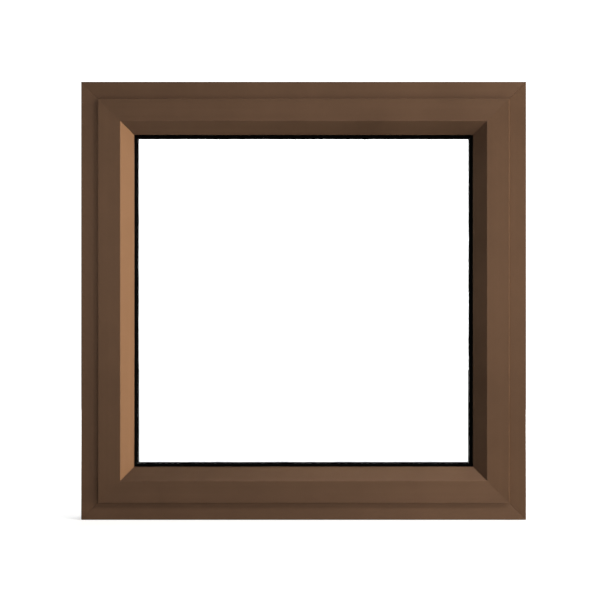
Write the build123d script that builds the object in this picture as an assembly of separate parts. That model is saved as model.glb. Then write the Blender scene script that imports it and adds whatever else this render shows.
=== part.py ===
from build123d import *
import os
from math import sqrt

# An open-out aluminium casement window, closed, with a thermally broken frame and sash.
# Millimetres, +Z up, +X to the right as seen from outside, and the outside towards -Y.
# The origin is the bottom middle of the frame's outside face.
# Sections are drawn with u running inwards from the window's perimeter and y running in depth.

# Whole window
WINDOW_WIDTH = 650.0
WINDOW_HEIGHT = 640.0
FRAME_DEPTH = 60.0
WALL = 1.8
FRAME_MITRE_GAP = 0.3
SASH_MITRE_GAP = 0.1
FIT = 0.1

# Widths seen from outside, from the perimeter to the clear glass
FRAME_SIGHT = 25.0
SASH_FACE = 32.5
BEVEL_WIDTH = 19.5
GASKET_SIGHT = 5.0

# How the sash lies in the frame
SASH_PROUD = 7.0
SASH_SET_IN = 2.0
SASH_LAP = 6.0
HARDWARE_GAP = 10.0
LAP_GAP = 2.5
NIB_GAP = 3.0

# Sash nose and rebate
BEVEL_DEPTH = 14.0
NOSE_EDGE = 2.0
REBATE_DEPTH = 18.0

# Thermal break: two polyamide strips rolled into dovetail grooves
BREAK_WIDTH = 16.0
STRIP = 2.0
FOOT_WIDTH = 4.0
FOOT_DEPTH = 2.5
LIP = 1.4

# Weather seals and the shoulder that the inner one presses on
SEAL_FOOT = 3.2
SEAL_BULB = 2.8
SEAL_HEIGHT = 5.0
SHOULDER = 3.0
SHOULDER_SET = 3.5
SHOULDER_GAP = 2.0

# Sealed glazing unit
PANE = 4.0
CAVITY = 16.0
EDGE_COVER = 13.0
EDGE_SEAL = 5.0
SPACER_HEIGHT = 6.0
SPACER_WALL = 0.8
BLOCK_LENGTH = 100.0
BLOCK_INSET = 120.0
BLOCK_BEARING = 2.0

# Glazing gaskets
OUTER_GASKET = 4.0
INNER_GASKET = 4.0
GASKET_ROOT = 4.0
GASKET_LIP = 2.0
GASKET_LIP_WALL = 1.0
GASKET_FEATHER = 0.8

# Snap-in glazing beads
BEAD_WALL = 1.5
BEAD_SET_BACK = 2.0
BEAD_LIP = 7.0
SNAP_SET = 5.0
SNAP_RIB = 2.2
SNAP_RIB_WALL = 1.2

# Corner radii of the extrusions
EASE = 0.8
BEVEL_EASE = 1.5
BEAD_EASE = 2.0

# Frame fixings through the jambs
FIXING_HOLE = 6.5
FIXING_ACCESS = 13.0
FIXING_INSET = 150.0

# Handle in the middle of the bottom rail
HANDLE_BASE_LENGTH = 108.0
HANDLE_BASE_WIDTH = 20.0
HANDLE_BASE_DEPTH = 9.0
HANDLE_BASE_TAPER = 8.0
HANDLE_BASE_EASE = 2.5
HANDLE_COLLAR = 17.0
HANDLE_COLLAR_DEPTH = 3.0
LEVER_STAND_OFF = 44.0
LEVER_BEND = 20.0
LEVER_LENGTH = 112.0
LEVER_WIDTH = 16.0
LEVER_THICKNESS = 10.0
LEVER_CORNER = 4.0
LEVER_END_EASE = 3.0

# Lines of the sections, inwards from the perimeter
sash_edge = FRAME_SIGHT
bevel_start = sash_edge + SASH_FACE
nose_tip = bevel_start + BEVEL_WIDTH
daylight = nose_tip + GASKET_SIGHT
frame_tube = sash_edge + SASH_LAP
sash_side = frame_tube + HARDWARE_GAP
nib_tip = sash_side - NIB_GAP
shoulder_tip = frame_tube + SHOULDER_GAP
rebate = daylight - REBATE_DEPTH
glass_edge = daylight - EDGE_COVER
bead_top = daylight - BEAD_SET_BACK
groove_half = FOOT_WIDTH / 2 + LIP
frame_strips = (groove_half, frame_tube - groove_half)
sash_strips = (sash_side + groove_half, rebate - groove_half)

# Lines of the sections in depth
sash_front = -SASH_PROUD
bevel_end = sash_front + BEVEL_DEPTH
nose_back = bevel_end + NOSE_EDGE
glass_front = nose_back + OUTER_GASKET
cavity_front = glass_front + PANE
cavity_back = cavity_front + CAVITY
glass_back = cavity_back + PANE
bead_front = glass_back + INNER_GASKET
sash_back = FRAME_DEPTH - SASH_SET_IN
break_front = (FRAME_DEPTH - BREAK_WIDTH) / 2
break_back = break_front + BREAK_WIDTH
outer_tube_back = break_front - FOOT_DEPTH
inner_tube_front = break_back + FOOT_DEPTH
shoulder_front = inner_tube_front + SHOULDER_SET
shoulder_back = shoulder_front + SHOULDER
nib_front = shoulder_back + SEAL_HEIGHT

# Each side runs along its plane's Z, with the plane's X pointing into the window
half_width = WINDOW_WIDTH / 2
SIDES = {
    "left": (Plane((-half_width, 0, 0), (1, 0, 0), (0, 0, 1)), WINDOW_HEIGHT),
    "top": (Plane((-half_width, 0, WINDOW_HEIGHT), (0, 0, -1), (1, 0, 0)), WINDOW_WIDTH),
    "right": (Plane((half_width, 0, WINDOW_HEIGHT), (-1, 0, 0), (0, 0, -1)), WINDOW_HEIGHT),
    "bottom": (Plane((half_width, 0, 0), (0, 0, 1), (-1, 0, 0)), WINDOW_WIDTH),
}
FRAME_NAMES = {"left": "left_jamb", "top": "head", "right": "right_jamb", "bottom": "sill"}
SASH_NAMES = {"left": "left_stile", "top": "top_rail", "right": "right_stile", "bottom": "bottom_rail"}


def span(u_low, u_high, y_low, y_high):
    """A rectangle of a section between two lines inwards and two lines in depth."""
    centre = Pos((u_low + u_high) / 2, (y_low + y_high) / 2)
    return centre * Rectangle(u_high - u_low, y_high - y_low)


def outline(*points):
    """A straight-sided closed shape through these points of a section."""
    return make_face(Polyline(*points, close=True))


def chamber(shape):
    """The hollow that leaves a wall of even thickness inside a shape."""
    return offset(shape, -WALL, kind=Kind.INTERSECTION)


def eased(shape, radius, *corners):
    """The shape with its vertices nearest these corners rounded."""
    picked = [shape.vertices().sort_by_distance((u, y, 0))[0] for u, y in corners]
    return fillet(picked, radius)


def dovetail(centre, mouth, floor, clearance):
    """The foot of an insulating strip, widening from the groove's mouth to its floor."""
    neck = STRIP / 2 + clearance
    foot = FOOT_WIDTH / 2 + clearance
    return outline(
        (centre - neck, mouth), (centre + neck, mouth), (centre + foot, floor), (centre - foot, floor)
    )


def grooves(centres, mouth, floor):
    """The lips on a shell's back that grip the insulating strips."""
    low, high = sorted((mouth, floor))
    lips = Sketch()
    for centre in centres:
        block = span(centre - groove_half, centre + groove_half, low, high)
        lips += block - dovetail(centre, mouth, floor, FIT)
    return lips


def insulating_strip(centre):
    """One polyamide strip with a dovetail foot along each edge."""
    neck = span(centre - STRIP / 2, centre + STRIP / 2, break_front, break_back)
    front_foot = dovetail(centre, break_front, outer_tube_back + FIT, 0)
    back_foot = dovetail(centre, break_back, inner_tube_front - FIT, 0)
    return neck + front_foot + back_foot


def frame_outer_section():
    """The frame's outside shell: a box with two strip grooves behind it."""
    box = span(0, frame_tube, 0, outer_tube_back)
    return box - chamber(box) + grooves(frame_strips, break_front, outer_tube_back)


def frame_inner_section():
    """The frame's room-side shell, with a nib that carries the inner seal."""
    box = span(0, frame_tube, inner_tube_front, FRAME_DEPTH)
    face = span(0, nib_tip, FRAME_DEPTH - WALL, FRAME_DEPTH)
    channel = span(nib_tip - 2 * LIP - SEAL_FOOT, nib_tip, nib_front, FRAME_DEPTH)
    slot = span(nib_tip - LIP - SEAL_FOOT, nib_tip - LIP, nib_front, FRAME_DEPTH - WALL)
    solid = eased(box + face + channel, EASE, (nib_tip, FRAME_DEPTH))
    return solid - chamber(box) - slot + grooves(frame_strips, break_back, inner_tube_front)


def sash_outer_section():
    """The sash's outside shell: a bevelled nose over the glass and a lap over the frame."""
    box = outline(
        (sash_side, sash_front),
        (bevel_start, sash_front),
        (nose_tip, bevel_end),
        (nose_tip, nose_back),
        (rebate, nose_back),
        (rebate, outer_tube_back),
        (sash_side, outer_tube_back),
    )
    lap = span(sash_edge, sash_side, sash_front, sash_front + WALL)
    channel = span(sash_edge, sash_edge + WALL + SEAL_FOOT + LIP, sash_front, -LAP_GAP)
    slot = span(sash_edge + WALL, sash_edge + WALL + SEAL_FOOT, sash_front + WALL, -LAP_GAP)
    face = eased(box + lap + channel, EASE, (sash_edge, sash_front), (nose_tip, bevel_end))
    face = eased(face, BEVEL_EASE, (bevel_start, sash_front))
    root_low, root_high = gasket_root()
    grip = span(root_low - GASKET_LIP_WALL, root_high + GASKET_LIP_WALL, nose_back, nose_back + GASKET_LIP)
    grip -= span(root_low, root_high, nose_back, nose_back + GASKET_LIP)
    return face - chamber(box) - slot + grip + grooves(sash_strips, break_front, outer_tube_back)


def sash_inner_section():
    """The sash's room-side shell, with the seal's shoulder and the ribs that hold the bead."""
    box = span(sash_side, rebate, inner_tube_front, sash_back)
    shoulder = span(shoulder_tip, sash_side, shoulder_front, shoulder_back)
    snap_front, snap_back = snap_groove()
    ribs = span(rebate, rebate + SNAP_RIB, snap_front - SNAP_RIB_WALL, snap_front)
    ribs += span(rebate, rebate + SNAP_RIB, snap_back, snap_back + SNAP_RIB_WALL)
    body = eased(box + shoulder, EASE, (sash_side, sash_back))
    return body - chamber(box) + ribs + grooves(sash_strips, break_back, inner_tube_front)


def gasket_root():
    """The two sides of the groove behind the nose that grips the outer gasket."""
    centre = (rebate + nose_tip) / 2
    return centre - GASKET_ROOT / 2, centre + GASKET_ROOT / 2


def snap_groove():
    """The two sides in depth of the groove that the bead's leg snaps into."""
    front = inner_tube_front + SNAP_SET
    return front, front + BEAD_WALL + 2 * FIT


def bead_section():
    """A hollow snap-in bead: room wall, top, gasket lip, web and leg, open towards the glass."""
    leg_front = snap_groove()[0] + FIT
    web = rebate + SNAP_RIB + FIT
    outside = span(rebate + FIT, bead_top, sash_back - BEAD_WALL, sash_back)
    outside += span(bead_top - BEAD_WALL, bead_top, bead_front, sash_back)
    outside = eased(outside, BEAD_EASE, (bead_top, sash_back))
    inside = span(bead_top - BEAD_LIP, bead_top, bead_front, bead_front + BEAD_WALL)
    inside += span(web, web + BEAD_WALL, leg_front, sash_back - BEAD_WALL)
    inside += span(rebate + FIT, web, leg_front, leg_front + BEAD_WALL)
    return outside + inside


def outer_gasket_section():
    """The outside glazing gasket: a root in the nose, a pad on the glass and a feathered lip."""
    root_low, root_high = gasket_root()
    pad_front = nose_back + GASKET_LIP
    root = span(root_low + FIT, root_high - FIT, nose_back, pad_front)
    heel = span(root_high + GASKET_LIP_WALL + FIT, nose_tip, nose_back, pad_front)
    pad = span(root_low - GASKET_LIP_WALL, nose_tip, pad_front, glass_front)
    feather = outline(
        (nose_tip, nose_back),
        (daylight, glass_front - GASKET_FEATHER),
        (daylight, glass_front),
        (nose_tip, glass_front),
    )
    return root + heel + pad + feather


def inner_gasket_section():
    """The wedge gasket between the bead and the glass."""
    return outline(
        (bead_top - BEAD_LIP, glass_back),
        (daylight, glass_back),
        (daylight, glass_back + GASKET_FEATHER),
        (bead_top, bead_front),
        (bead_top - BEAD_LIP, bead_front),
    )


def outer_seal_section():
    """The seal in the sash's lap, with its bulb on the frame's outside face."""
    foot_low = sash_edge + WALL + FIT
    foot_high = sash_edge + WALL + SEAL_FOOT - FIT
    centre = (foot_low + foot_high) / 2
    foot = span(foot_low, foot_high, sash_front + WALL + FIT, -LAP_GAP)
    low, high = centre - SEAL_BULB / 2, centre + SEAL_BULB / 2
    bulb = eased(span(low, high, -LAP_GAP, 0), EASE, (low, 0), (high, 0))
    return foot + bulb


def inner_seal_section():
    """The seal in the frame's nib, with its bulb on the sash's shoulder."""
    foot_low = nib_tip - LIP - SEAL_FOOT + FIT
    foot_high = nib_tip - LIP - FIT
    centre = (foot_low + foot_high) / 2
    foot = span(foot_low, foot_high, nib_front, FRAME_DEPTH - WALL - FIT)
    low, high = centre - SEAL_BULB / 2, centre + SEAL_BULB / 2
    bulb = eased(span(low, high, shoulder_back, nib_front), EASE, (low, shoulder_back), (high, shoulder_back))
    return foot + bulb


def spacer_section():
    """The hollow bar that keeps the two panes apart."""
    low = glass_edge + EDGE_SEAL
    bar = span(low, low + SPACER_HEIGHT, cavity_front, cavity_back)
    return bar - offset(bar, -SPACER_WALL, kind=Kind.INTERSECTION)


def edge_seal_section():
    """The sealant round the unit's edge, outside the spacer."""
    return span(glass_edge, glass_edge + EDGE_SEAL, cavity_front, cavity_back)


def mitred_bar(section, side, gap):
    """One side of a ring: the section run along that side and cut at 45 degrees at both ends."""
    plane, length = SIDES[side]
    inset = gap / 2 * sqrt(2)
    bar = extrude(section, amount=length, dir=(0, 0, 1))
    start = Plane((0, 0, inset), z_dir=(-1, 0, 1))
    end = Plane((0, 0, length - inset), z_dir=(-1, 0, -1))
    bar = split(bar, bisect_by=start, keep=Keep.TOP)
    bar = split(bar, bisect_by=end, keep=Keep.TOP)
    return plane * bar


def ring(section):
    """The section carried right round the window as one piece."""
    bars = [mitred_bar(section, side, 0) for side in SIDES]
    return bars[0].fuse(*bars[1:])


def fixing_holes(side):
    """The screw holes of a jamb, each with a wider hole on the rebate side for the screw's head."""
    plane, length = SIDES[side]
    depth = (inner_tube_front + FRAME_DEPTH) / 2
    cutters = []
    for along in (FIXING_INSET, length - FIXING_INSET):
        axis = plane * Plane((0, depth, along), x_dir=(0, 1, 0), z_dir=(1, 0, 0))
        screw = Cylinder(FIXING_HOLE / 2, 2 * WALL)
        access = Pos(0, 0, frame_tube) * Cylinder(FIXING_ACCESS / 2, 2 * WALL)
        cutters += [axis * screw, axis * access]
    return cutters


def frame_members():
    """The four frame members, each an outside shell, a room-side shell and its strips."""
    members = {}
    for side, name in FRAME_NAMES.items():
        inner = mitred_bar(frame_inner_section(), side, FRAME_MITRE_GAP)
        if side in ("left", "right"):
            inner -= fixing_holes(side)
        strips = [mitred_bar(insulating_strip(centre), side, FRAME_MITRE_GAP) for centre in frame_strips]
        members[f"frame_{name}_outer"] = mitred_bar(frame_outer_section(), side, FRAME_MITRE_GAP)
        members[f"frame_{name}_inner"] = inner
        members[f"frame_{name}_thermal_break"] = Compound(children=strips)
    return members


def sash_members():
    """The four sash members and the bead that snaps into each."""
    members = {}
    for side, name in SASH_NAMES.items():
        strips = [mitred_bar(insulating_strip(centre), side, SASH_MITRE_GAP) for centre in sash_strips]
        members[f"sash_{name}_outer"] = mitred_bar(sash_outer_section(), side, SASH_MITRE_GAP)
        members[f"sash_{name}_inner"] = mitred_bar(sash_inner_section(), side, SASH_MITRE_GAP)
        members[f"sash_{name}_thermal_break"] = Compound(children=strips)
        members[f"glazing_bead_{side}"] = mitred_bar(bead_section(), side, SASH_MITRE_GAP)
    return members


def pane(front):
    """One sheet of glass with its outside face at this depth."""
    width = WINDOW_WIDTH - 2 * glass_edge
    height = WINDOW_HEIGHT - 2 * glass_edge
    return Pos(0, front + PANE / 2, WINDOW_HEIGHT / 2) * Box(width, PANE, height)


def setting_blocks():
    """The two packers that carry the glass, bridging from one shell of the bottom rail to the other."""
    blocks = []
    back = inner_tube_front + BLOCK_BEARING
    for x in (-half_width + glass_edge + BLOCK_INSET, half_width - glass_edge - BLOCK_INSET):
        centre = Pos(x, (glass_front + back) / 2, (rebate + glass_edge) / 2)
        blocks.append(centre * Box(BLOCK_LENGTH, back - glass_front, glass_edge - rebate))
    return Compound(children=blocks)


def glazing():
    """The sealed unit, what it stands on and the gaskets that hold it."""
    return {
        "outer_pane": pane(glass_front),
        "inner_pane": pane(cavity_back),
        "spacer_bar": ring(spacer_section()),
        "edge_seal": ring(edge_seal_section()),
        "setting_blocks": setting_blocks(),
        "outer_glazing_gasket": ring(outer_gasket_section()),
        "inner_glazing_gasket": ring(inner_gasket_section()),
    }


def weather_seals():
    """The two seals between sash and frame."""
    return {
        "outer_weather_seal": ring(outer_seal_section()),
        "inner_weather_seal": ring(inner_seal_section()),
    }


def handle_base(seat):
    """The handle's backplate, drawn in towards the room and with its rim rounded."""
    foot = SlotOverall(HANDLE_BASE_LENGTH, HANDLE_BASE_WIDTH)
    plate = extrude(foot, amount=HANDLE_BASE_DEPTH, taper=HANDLE_BASE_TAPER)
    rim = plate.edges().group_by(Axis.Z)[-1]
    return seat * fillet(rim, HANDLE_BASE_EASE)


def handle_lever(seat):
    """The lever: a collar on the backplate, a neck out into the room and a grip along the rail."""
    foot = HANDLE_BASE_DEPTH + HANDLE_COLLAR_DEPTH
    collar = Pos(0, 0, foot - HANDLE_COLLAR_DEPTH / 2) * Cylinder(HANDLE_COLLAR / 2, HANDLE_COLLAR_DEPTH)
    corner, tip = (0, 0, LEVER_STAND_OFF), (LEVER_LENGTH, 0, LEVER_STAND_OFF)
    path = FilletPolyline((0, 0, foot), corner, tip, radius=LEVER_BEND)
    section = Pos(0, 0, foot) * RectangleRounded(LEVER_THICKNESS, LEVER_WIDTH, LEVER_CORNER)
    grip = sweep(section, path=path)
    grip = fillet(grip.faces().sort_by(Axis.X)[-1].edges(), LEVER_END_EASE)
    return seat * (collar + grip)


def handle():
    """The lever handle on the bottom rail's room face."""
    seat = Plane((0, sash_back, (sash_side + rebate) / 2), x_dir=(1, 0, 0), z_dir=(0, 1, 0))
    return {"handle_base": handle_base(seat), "handle_lever": handle_lever(seat)}


os.makedirs("parts", exist_ok=True)
pieces = {**frame_members(), **sash_members(), **glazing(), **weather_seals(), **handle()}
for node, piece in pieces.items():
    export_step(piece, f"parts/{node}.step")
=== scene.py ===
import math

import bpy
import numpy as np
from mathutils.geometry import tessellate_polygon
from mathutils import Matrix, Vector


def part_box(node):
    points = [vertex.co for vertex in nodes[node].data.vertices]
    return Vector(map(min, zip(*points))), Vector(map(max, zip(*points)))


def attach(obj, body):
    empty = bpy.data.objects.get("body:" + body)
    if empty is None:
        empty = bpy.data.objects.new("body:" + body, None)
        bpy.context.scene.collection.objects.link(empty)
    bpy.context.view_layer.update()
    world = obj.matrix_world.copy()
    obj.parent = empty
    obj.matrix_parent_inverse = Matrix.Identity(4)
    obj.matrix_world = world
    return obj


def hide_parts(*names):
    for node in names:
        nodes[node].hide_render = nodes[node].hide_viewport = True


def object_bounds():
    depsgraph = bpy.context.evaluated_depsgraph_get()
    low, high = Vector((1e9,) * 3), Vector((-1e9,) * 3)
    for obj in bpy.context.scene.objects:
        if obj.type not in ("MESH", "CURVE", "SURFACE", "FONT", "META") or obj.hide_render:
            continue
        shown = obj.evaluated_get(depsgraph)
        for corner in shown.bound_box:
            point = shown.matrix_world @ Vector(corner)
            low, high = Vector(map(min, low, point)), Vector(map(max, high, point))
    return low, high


# The looks of an open-out aluminium casement window, in metres in the CAD's own frame.
# Sections are drawn with u running inwards from the window's perimeter and y running in depth.

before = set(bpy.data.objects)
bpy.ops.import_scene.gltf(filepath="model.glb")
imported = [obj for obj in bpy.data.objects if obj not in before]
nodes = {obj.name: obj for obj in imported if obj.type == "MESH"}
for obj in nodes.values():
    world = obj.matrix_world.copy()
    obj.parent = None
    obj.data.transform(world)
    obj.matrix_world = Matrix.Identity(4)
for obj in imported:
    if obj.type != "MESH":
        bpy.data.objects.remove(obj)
cad_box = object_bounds()
MM = 0.001

# Details that the node boxes do not give
WALL = 1.8 * MM
FIT = 0.1 * MM
BEVEL_WIDTH = 19.5 * MM
NOSE_EDGE = 2.0 * MM
STRIP = 2.0 * MM
STRIP_FOOT = 4.0 * MM
STRIP_FOOT_DEPTH = 2.5 * MM
LIP = 1.4 * MM
SEAL_FOOT = 3.2 * MM
SEAL_BULB = 2.8 * MM
SEAL_WALL = 0.7 * MM
LAP_GAP = 2.5 * MM
SEAL_HEIGHT = 5.0 * MM
SHOULDER = 3.0 * MM
SHOULDER_SET = 3.5 * MM
GASKET_ROOT = 4.0 * MM
GASKET_LIP = 2.0 * MM
GASKET_LIP_WALL = 1.0 * MM
GASKET_FEATHER = 0.8 * MM
BEAD_WALL = 1.5 * MM
BEAD_LIP = 7.0 * MM
SNAP_SET = 5.0 * MM
SNAP_RIB = 2.2 * MM
SNAP_RIB_WALL = 1.2 * MM
SPACER_WALL = 0.8 * MM
SPACER_HEIGHT = 6.0 * MM
BEAD_SET_BACK = 2.0 * MM
FIXING_INSET = 150.0 * MM
FIXING_RADIUS = 3.25 * MM
ACCESS_RADIUS = 6.5 * MM
LEVER_STAND_OFF = 44.0 * MM
LEVER_BEND = 20.0 * MM
LEVER_FOOT = 9.0 * MM
LEVER_END = 3.5 * MM
SCREW_RADIUS = 4.2 * MM
SCREW_SPREAD = 38.0 * MM

# Radii of the extrusions' edges
ARRIS = 0.35 * MM
FACE_EDGE = 0.4 * MM
BEVEL_EDGE = 1.0 * MM
BEAD_EDGE = 2.0 * MM
FINE = 0.15 * MM
RUBBER_ROUND = 0.9 * MM
RUBBER_TIP = 0.35 * MM
RUBBER_FINE = 0.1 * MM

# Mitres: the burr taken off each end, and how many burrs it reaches back along the bar
FRAME_BURR = 0.28 * MM
SASH_BURR = 0.07 * MM
BURR_RUN = 0.9

# Edges that turn more than this stay sharp
SHARP_ANGLE = math.radians(40)

# How a rubber lip strays: each wave's share, its turn in radians a metre and its start
WANDER_WAVES = ((1.0, 61.0, 0.0), (0.7, 143.0, 1.3), (0.5, 317.0, 0.4))

# Lines of the sections, read from the left-hand members
WIDTH = cad_box[1][0] - cad_box[0][0]
HEIGHT = cad_box[1][2] - cad_box[0][2]
LEFT = cad_box[0][0]


def lines(node):
    """A left-hand member's extents: low and high inwards from the perimeter, then low and high in depth."""
    low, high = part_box(node)
    return low[0] - LEFT, high[0] - LEFT, low[1], high[1]


_, frame_tube, _, break_front = lines("frame_left_jamb_outer")
_, nib_tip, break_back, frame_back = lines("frame_left_jamb_inner")
sash_edge, nose_tip, sash_front, _ = lines("sash_left_stile_outer")
shoulder_tip, _, _, sash_back = lines("sash_left_stile_inner")
strip_low, strip_high, _, _ = lines("sash_left_stile_thermal_break")
sash_side, rebate = strip_low - LIP, strip_high + LIP
_, bead_top, bead_front, _ = lines("glazing_bead_left")
_, _, nose_back, glass_front = lines("outer_glazing_gasket")
glass_edge, _, _, cavity_front = lines("outer_pane")
_, _, cavity_back, glass_back = lines("inner_pane")
spacer_low = lines("spacer_bar")[0]
daylight = bead_top + BEAD_SET_BACK
bevel_start = nose_tip - BEVEL_WIDTH
bevel_end = nose_back - NOSE_EDGE
outer_tube_back = break_front - STRIP_FOOT_DEPTH
inner_tube_front = break_back + STRIP_FOOT_DEPTH
shoulder_front = inner_tube_front + SHOULDER_SET
shoulder_back = shoulder_front + SHOULDER
nib_front = shoulder_back + SEAL_HEIGHT
groove_half = STRIP_FOOT / 2 + LIP
frame_strips = (groove_half, frame_tube - groove_half)
sash_strips = (sash_side + groove_half, rebate - groove_half)
root_mid = (rebate + nose_tip) / 2
root_low, root_high = root_mid - GASKET_ROOT / 2, root_mid + GASKET_ROOT / 2
grip_low, grip_high = root_low - GASKET_LIP_WALL, root_high + GASKET_LIP_WALL
grip_back = nose_back + GASKET_LIP
snap_front = inner_tube_front + SNAP_SET
snap_back = snap_front + BEAD_WALL + 2 * FIT

# Each side of the window: its starting corner, the way along it, the way inwards and its length
SIDES = {
    "left": ((LEFT, 0, 0), (0, 0, 1), (1, 0, 0), HEIGHT),
    "top": ((LEFT, 0, HEIGHT), (1, 0, 0), (0, 0, -1), WIDTH),
    "right": ((LEFT + WIDTH, 0, HEIGHT), (0, 0, -1), (-1, 0, 0), HEIGHT),
    "bottom": ((LEFT + WIDTH, 0, 0), (-1, 0, 0), (0, 0, 1), WIDTH),
}
FRAME_NAMES = {"left": "left_jamb", "top": "head", "right": "right_jamb", "bottom": "sill"}
SASH_NAMES = {"left": "left_stile", "top": "top_rail", "right": "right_stile", "bottom": "bottom_rail"}


class Outline:
    """One closed line of a section, with what each of its points is on: an arris, a crease or a flat.

    A corner of inside angle a and radius r gives points centre + turn(t) * (start - centre), t running
    evenly over the corner's turn. The start lies r / tan(a / 2) back along the edge, and the centre
    r / sin(a / 2) along the bisector. A guard point stands on the flat either side of each arc, so that wear and dirt fade
    out close to it. Solid lines run anticlockwise and hollows clockwise, so the normals leave the material.
    """

    def __init__(self, corners, radii=ARRIS, steps=5, guard=1.0 * MM, hollow=False):
        p = np.array(corners, float)
        r = np.maximum(np.broadcast_to(np.array(radii, float), len(p)), 0.03 * MM)
        area = np.sum(p[:, 0] * np.roll(p[:, 1], -1) - p[:, 1] * np.roll(p[:, 0], -1))
        if (area > 0) == hollow:
            p, r = p[::-1], r[::-1]
        back, ahead = np.roll(p, 1, 0) - p, np.roll(p, -1, 0) - p
        back_length, ahead_length = np.linalg.norm(back, axis=1), np.linalg.norm(ahead, axis=1)
        back, ahead = back / back_length[:, None], ahead / ahead_length[:, None]
        half = np.arccos(np.clip(np.sum(back * ahead, 1), -1, 1)) / 2
        run = np.minimum(r / np.tan(half), 0.45 * np.minimum(back_length, ahead_length))
        r = run * np.tan(half)
        bisector = back + ahead
        bisector /= np.linalg.norm(bisector, axis=1)[:, None]
        centre = p + bisector * (r / np.sin(half))[:, None]
        spoke = p + back * run[:, None] - centre
        convex = ahead[:, 1] * -back[:, 0] + back[:, 1] * ahead[:, 0] > 0
        turn = np.where(convex, 1, -1) * (np.pi - 2 * half)
        angle = turn[:, None] * np.linspace(0, 1, steps)
        cos, sin = np.cos(angle)[..., None], np.sin(angle)[..., None]
        across = np.stack([-spoke[:, 1], spoke[:, 0]], 1)
        arc = centre[:, None] + cos * spoke[:, None] + sin * across[:, None]
        guard_back = np.minimum(guard, 0.45 * (back_length - run - np.roll(run, 1)))
        guard_ahead = np.minimum(guard, 0.45 * (ahead_length - run - np.roll(run, -1)))
        before = p + back * (run + guard_back)[:, None]
        after = p + ahead * (run + guard_ahead)[:, None]
        self.points = np.concatenate([before[:, None], arc, after[:, None]], 1).reshape(-1, 2)
        on_arc = np.r_[0, np.ones(steps), 0]
        self.arris = (convex[:, None] * on_arc).ravel()
        self.crease = (~convex[:, None] * on_arc).ravel()
        edge = np.roll(self.points, -1, 0) - self.points
        normal = np.stack([edge[:, 1], -edge[:, 0]], 1)
        normal /= np.linalg.norm(normal, axis=1)[:, None]
        normal = normal + np.roll(normal, 1, 0)
        self.normal = normal / np.maximum(np.linalg.norm(normal, axis=1), 1e-9)[:, None]
        along = np.r_[0, np.cumsum(np.linalg.norm(edge, axis=1))]
        self.across = np.stack([along[:-1], along[1:], along[1:], along[:-1]], 1)


def box_corners(u_low, u_high, y_low, y_high):
    """The four corners of a rectangle of a section."""
    return [(u_low, y_low), (u_high, y_low), (u_high, y_high), (u_low, y_high)]


def groove_corners(centre, mouth, floor):
    """A dovetail groove's four corners, from the mouth's high side round its floor to the low side."""
    neck, foot = STRIP / 2 + FIT, STRIP_FOOT / 2 + FIT
    return [(centre + neck, mouth), (centre + foot, floor), (centre - foot, floor), (centre - neck, mouth)]


def strip_lips(centres, mouth, floor):
    """The back of a shell between two lips, read from the high end to the low end of the section."""
    low, high = centres
    return [
        *groove_corners(high, mouth, floor), (high - groove_half, mouth), (high - groove_half, floor),
        (low + groove_half, floor), (low + groove_half, mouth), *groove_corners(low, mouth, floor),
    ]


def frame_outer_lines():
    """The frame's outside shell: face, rebate side, two grooved lips and one chamber."""
    shell = [(0, 0), (frame_tube, 0), (frame_tube, break_front)]
    shell += strip_lips(frame_strips, break_front, outer_tube_back)
    shell += [(0, break_front)]
    radii = [ARRIS, ARRIS] + [FINE] * (len(shell) - 3) + [ARRIS]
    hollow = box_corners(WALL, frame_tube - WALL, WALL, outer_tube_back - WALL)
    return [[Outline(shell, radii), Outline(hollow, hollow=True)]]


def frame_inner_lines():
    """The frame's room-side shell: grooved lips, nib with its seal slot, room face and one chamber."""
    slot_low, slot_high = nib_tip - LIP - SEAL_FOOT, nib_tip - LIP
    shell = [(0, break_back)]
    lips = strip_lips(frame_strips, break_back, inner_tube_front)[::-1]
    shell += lips + [(frame_tube, break_back)]
    radii = [ARRIS] + [FINE] * len(lips) + [ARRIS]
    nib = [
        (frame_tube, nib_front), (slot_low, nib_front), (slot_low, frame_back - WALL),
        (slot_high, frame_back - WALL), (slot_high, nib_front), (nib_tip, nib_front), (nib_tip, frame_back),
        (0, frame_back),
    ]
    radii += [FINE, FINE, FINE, FINE, FINE, ARRIS, FACE_EDGE, ARRIS]
    hollow = box_corners(WALL, frame_tube - WALL, inner_tube_front + WALL, frame_back - WALL)
    return [[Outline(shell + nib, radii), Outline(hollow, hollow=True)]]


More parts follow.
